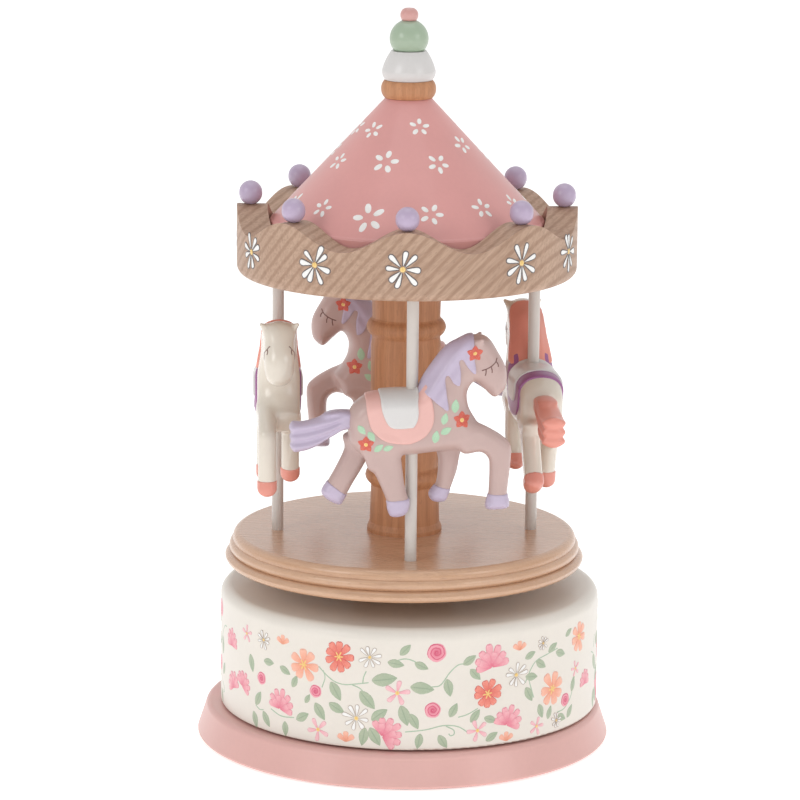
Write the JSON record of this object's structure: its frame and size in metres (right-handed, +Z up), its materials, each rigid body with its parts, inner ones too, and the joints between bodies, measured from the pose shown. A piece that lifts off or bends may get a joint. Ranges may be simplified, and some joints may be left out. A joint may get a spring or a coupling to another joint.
{
  "type": "carousel music box",
  "caption": "Turned wooden carousel on a round musical drum: horses on poles under a wavy-edged canopy with a cone roof, wound by twisting the foot.",
  "frame": {"origin": "centre of the foot on the surface that it stands on", "axes": "+Z up along the spindle, +X the way the front horse faces, -Y towards the front horse"},
  "size_m": [0.114, 0.114, 0.202],
  "materials": {
    "pink_lacquer": "satin pink lacquer on turned wood",
    "cream_lacquer": "glossy cream lacquer on turned wood",
    "white_lacquer": "glossy white lacquer on turned wood",
    "green_lacquer": "glossy sage lacquer on turned wood",
    "lilac_lacquer": "glossy lilac lacquer on turned wood",
    "natural_wood": "clear satin varnish on fine-grained wood",
    "warm_wood": "clear satin varnish on warm wood",
    "pole_white": "white painted dowel",
    "horse_mauve": "painted cast resin, satin",
    "horse_cream": "painted cast resin, pearly gloss",
    "felt": "wool felt",
    "brass": "plain rolled brass",
    "steel": "bright steel",
    "zinc": "die-cast, matt",
    "dark_plastic": "moulded, matt"
  },
  "bodies": {
    "winding_base": {"foot_disc": "pink_lacquer", "foot_felt": "felt", "slip_ring": "felt", "winding_arbor": "steel", "arbor_nut": "brass"},
    "music_box": {"drum_shell": "cream_lacquer", "base_plate": "natural_wood", "base_screws": "steel", "bedplate": "brass", "bedplate_screws": "steel", "inner_post": "brass", "outer_post": "brass", "spindle_bush": "brass", "comb": "steel", "comb_rest": "zinc", "comb_screws": "steel", "governor_frame": "brass"},
    "carousel": {"spring_barrel": "brass", "barrel_cap": "brass", "output_shaft": "steel", "mainspring": "steel", "turntable_hub": "natural_wood", "hub_screws": "steel", "platform": "natural_wood", "column": "warm_wood", "pole_front": "pole_white", "pole_right": "pole_white", "pole_back": "pole_white", "pole_left": "pole_white", "horse_front": "horse_mauve", "horse_right": "horse_cream", "horse_back": "horse_mauve", "horse_left": "horse_cream", "canopy_ring": "natural_wood", "crown_bead_1": "lilac_lacquer", "crown_bead_2": "lilac_lacquer", "crown_bead_3": "lilac_lacquer", "crown_bead_4": "lilac_lacquer", "crown_bead_5": "lilac_lacquer", "crown_bead_6": "lilac_lacquer", "crown_bead_7": "lilac_lacquer", "crown_bead_8": "lilac_lacquer", "cone_roof": "pink_lacquer", "finial_ring": "warm_wood", "finial_cup": "white_lacquer", "finial_ball": "green_lacquer", "finial_knob": "pink_lacquer", "finial_pin": "natural_wood"},
    "cylinder": {"tune_cylinder": "brass", "tune_pins": "steel", "cylinder_arbor": "steel", "cylinder_pinion": "brass", "cylinder_gear": "brass"},
    "governor": {"governor_arbor": "steel", "governor_pinion": "brass", "governor_wheel": "brass"},
    "fan": {"worm_shaft": "steel", "fan_blades": "dark_plastic"}
  },
  "joints": [
    {"name": "winding", "type": "hinge", "parent": "winding_base", "child": "music_box", "pos_m": [0, 0, 0.0102], "axis": [0, 0, 1], "range_deg": [0, 1440]},
    {"name": "carousel_spin", "type": "hinge", "parent": "music_box", "child": "carousel", "pos_m": [0, 0, 0.038], "axis": [0, 0, 1], "continuous": true},
    {"name": "cylinder_spin", "type": "hinge", "parent": "music_box", "child": "cylinder", "pos_m": [0.022, 0, 0.024], "axis": [1, 0, 0], "continuous": true},
    {"name": "governor_spin", "type": "hinge", "parent": "music_box", "child": "governor", "pos_m": [0.0347, 0.009, 0.024], "axis": [1, 0, 0], "continuous": true},
    {"name": "fan_spin", "type": "hinge", "parent": "music_box", "child": "fan", "pos_m": [0.0364, 0.015, 0.024], "axis": [0, 0, 1], "continuous": true}
  ],
  "couplings": [
    {"joint": "cylinder_spin", "follows": "carousel_spin", "ratio": -3},
    {"joint": "governor_spin", "follows": "carousel_spin", "ratio": 12},
    {"joint": "fan_spin", "follows": "carousel_spin", "ratio": -288}
  ]
}
